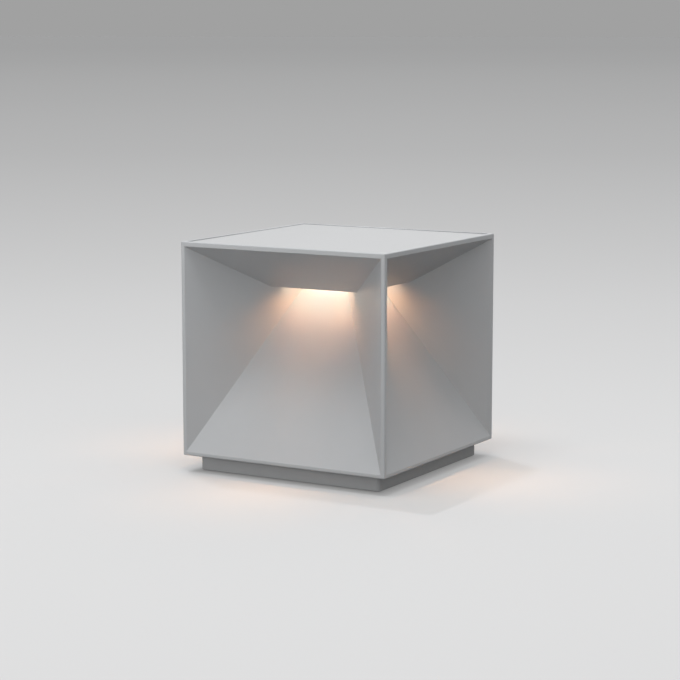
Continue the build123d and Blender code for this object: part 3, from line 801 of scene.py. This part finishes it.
# Each row: direction of the middle, the power that narrows it, strength
soft_boxes = (((0, 0, 1), 5, 1.98), ((0.35, -0.85, 0.38), 3, 0.94),
              ((-0.22, 0.9, 0.32), 3, 0.87), ((0.95, -0.1, 0.1), 4, 0.8))
total = 0.0
for aim, power, level in soft_boxes:
    facing = add(tree, "VectorMath", {0: look, 1: Vector(aim).normalized()}, operation="DOT_PRODUCT")
    before = add(tree, "Math", {0: facing.outputs["Value"], 1: 0.0}, operation="MAXIMUM")
    shape = add(tree, "Math", {0: before.outputs[0], 1: power}, operation="POWER")
    added = add(tree, "Math", {0: shape.outputs[0], 1: level, 2: total}, operation="MULTIPLY_ADD")
    total = added.outputs[0]
path = add(tree, "LightPath")
sky = add(tree, "Background", {"Color": (1, 1, 1, 1), "Strength": total})
backdrop = add(tree, "Background", {"Color": colour("#a1a1a1"), "Strength": 1.0})
both = add(tree, "MixShader", {0: path.outputs["Is Camera Ray"], 1: sky.outputs[0], 2: backdrop.outputs[0]})
add(tree, "OutputWorld", {"Surface": both.outputs[0]})
print("world has", len(tree.nodes), "nodes")

# %% Lights
sun_data = bpy.data.lights.new("sun", "SUN")
sun_data.energy = 0.62
sun_data.color = colour("#f8faff")[:3]
sun_data.angle = math.radians(1.2)
sun_aim = Vector((0.345, -0.199, -1.081))
sun = bpy.data.objects.new("sun", sun_data)
sun.rotation_euler = sun_aim.to_track_quat("-Z", "Y").to_euler()
scene.collection.objects.link(sun)


def area_light(name, place, aim, wide, tall, energy, tint="#ffffff", spread=180):
    """A rectangular light at a place, facing aim, that the camera doesn't see."""
    data = bpy.data.lights.new(name, "AREA")
    data.shape = "RECTANGLE"
    data.size, data.size_y, data.energy, data.color = wide, tall, energy, colour(tint)[:3]
    data.spread = math.radians(spread)
    light = bpy.data.objects.new(name, data)
    light.location = place
    light.rotation_euler = Vector(aim).to_track_quat("-Z", "Y").to_euler()
    light.visible_camera = False
    scene.collection.objects.link(light)
    return light


high_box = area_light("high_soft_box", place=(0, -0.22, 0.824), aim=(0, 0.22, -0.769),
                      wide=0.35, tall=0.2, energy=1.9)
low_box = area_light("low_soft_box", place=(-0.25, -0.5, 0.11), aim=(0.25, 0.5, -0.05),
                     wide=0.7, tall=0.2, energy=0.98)
off_floor = bpy.data.collections.new("off_floor")
off_floor.objects.link(floor)
off_floor.collection_objects[0].light_linking.link_state = "EXCLUDE"
low_box.light_linking.receiver_collection = off_floor
print("sun of strength", round(sun_data.energy, 2))
for box in (high_box, low_box):
    print(box.name, "of", round(box.data.energy, 2), "W")

# %% [markdown]
# ## Beams of the light slots
# The emitters send their light down along each facet. A glowing face alone spreads it to all sides, so
# the top of the facet burns out before the glow reaches its middle. Strip lights under the frosted ring
# of each slot therefore carry the beam: a narrow orange one that reaches far down, a wide pale green one
# for the facet's top, and two short ones that lean sideways to the corner fins. A last one sits nearer
# the lamp's middle and leans out, past the facet and over the lower rim, and makes the warm patch on the
# floor. On the facet their tints add up to one soft warm white. Their spread angle does what a lens does
# on a real emitter.
#
# No two strips lie in one plane: of two lamps in the very same place, the render loses the light of one.

# %% Slot beams
strip_level, strip_width = 91.5 * MM, 2.0 * MM
# Each row: name, distance off the axis and length in mm, sideways and outward lean, energy in W, tint
# and spread in degrees
beams = (
    ("far", 21, 38, 0, 0.42, 0.004, "#ff7028", 70),
    ("near", 20.8, 38, 0, 0.42, 0.002, "#c0ffe8", 110),
    ("left", 19, 16, -1.2, 0.5, 0.0023, "#ffb070", 55),
    ("right", 19, 16, 1.2, 0.5, 0.0023, "#ffb070", 55),
    ("spill", 16, 38, 0, 0.7, 0.008, "#ffc490", 58))
for number, side in enumerate(("front", "right", "back", "left")):
    quarter = Matrix.Rotation(number * math.pi / 2, 3, "Z")
    for name, off_axis, length, aside, out, energy, tint, spread in beams:
        area_light("%s_%s_beam" % (side, name), quarter @ Vector((0, -off_axis * MM, strip_level)),
                   quarter @ Vector((aside, -out, -1)), length * MM, strip_width, energy, tint, spread)
print("each slot has", len(beams), "beams")
